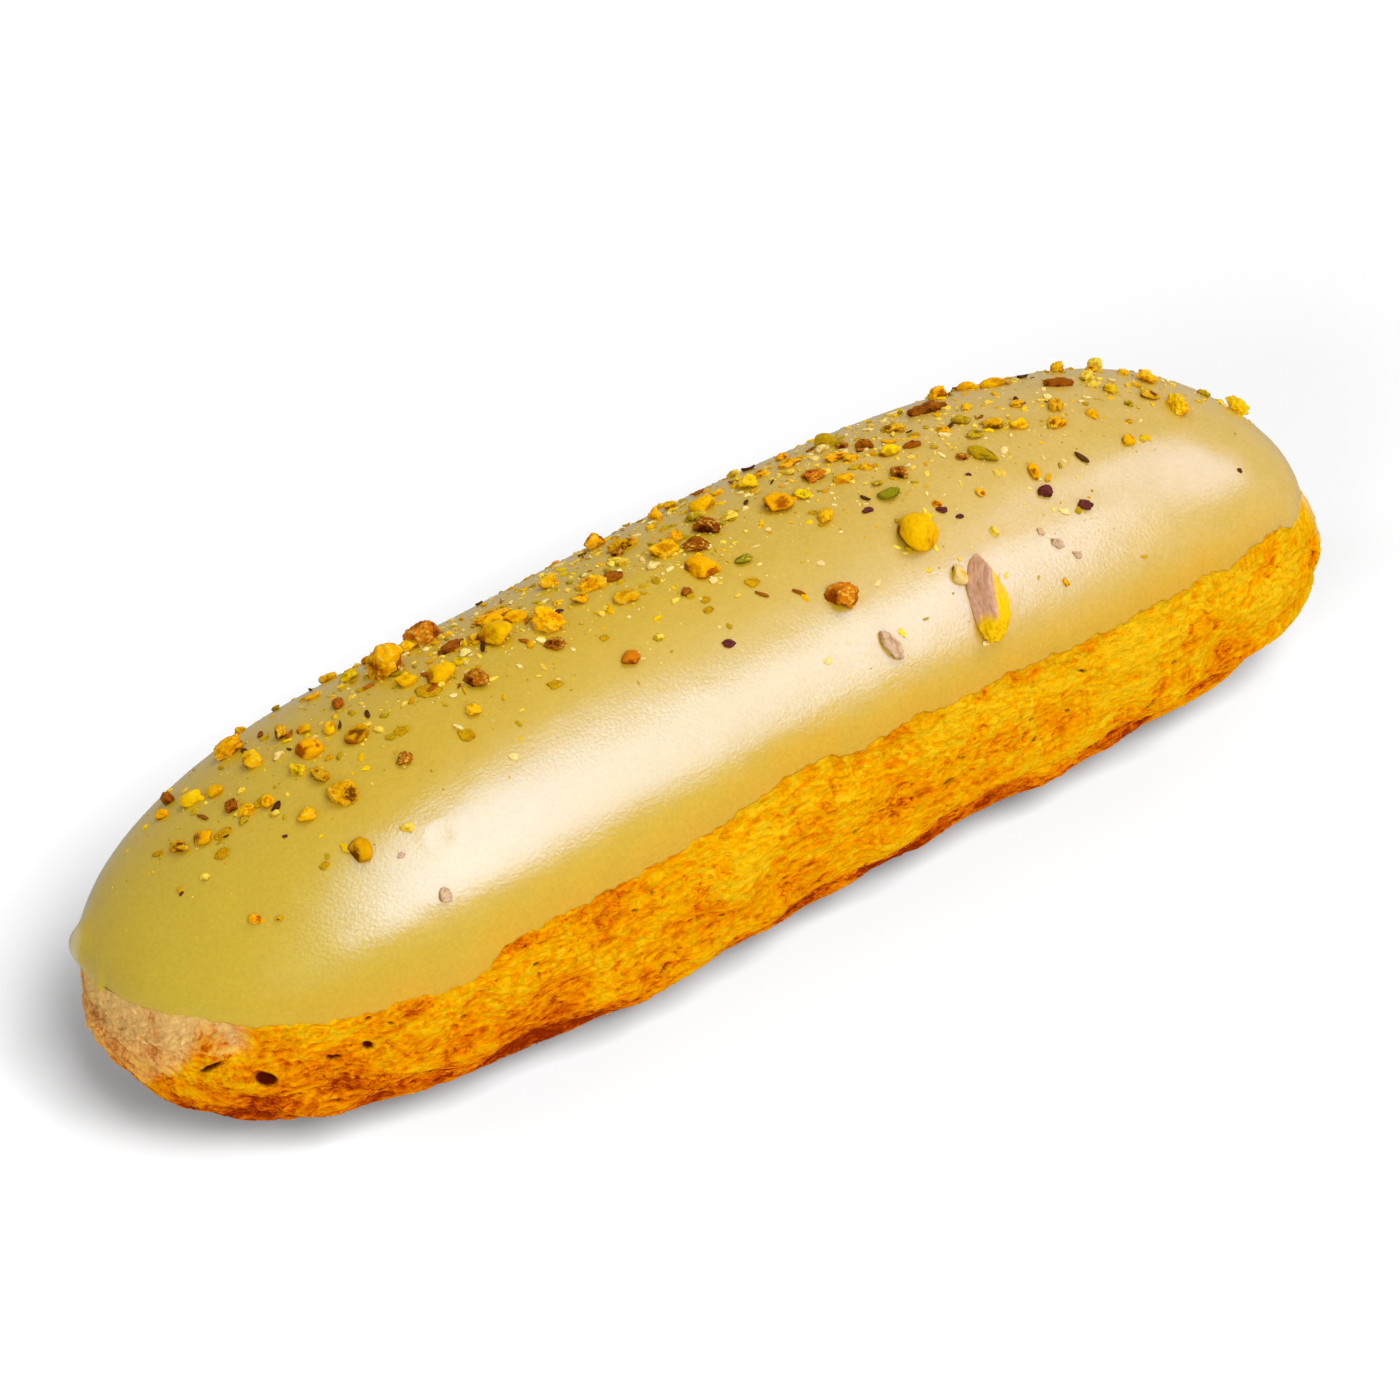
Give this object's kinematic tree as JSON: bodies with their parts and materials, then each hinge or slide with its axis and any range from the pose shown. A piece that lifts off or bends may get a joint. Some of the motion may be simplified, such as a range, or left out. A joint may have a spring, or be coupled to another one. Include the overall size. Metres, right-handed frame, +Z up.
{
  "type": "pistachio eclair",
  "caption": "Whole oblong choux pastry lying on its flat base, with pale green-gold icing over its upper half and chopped pistachios along the crest.",
  "frame": {"origin": "middle of the flat base, on the surface that the eclair lies on", "axes": "+X along the eclair towards its blunter end, +Y across it, +Z up"},
  "size_m": [0.1399, 0.044, 0.0364],
  "materials": {
    "choux": "matte golden baked crust",
    "fondant": "smooth pistachio icing, satin gloss",
    "pistachio": "golden and brown chopped pistachios"
  },
  "bodies": {
    "root": {"choux_bun": "choux", "pistachio_fondant": "fondant"}
  },
  "joints": []
}
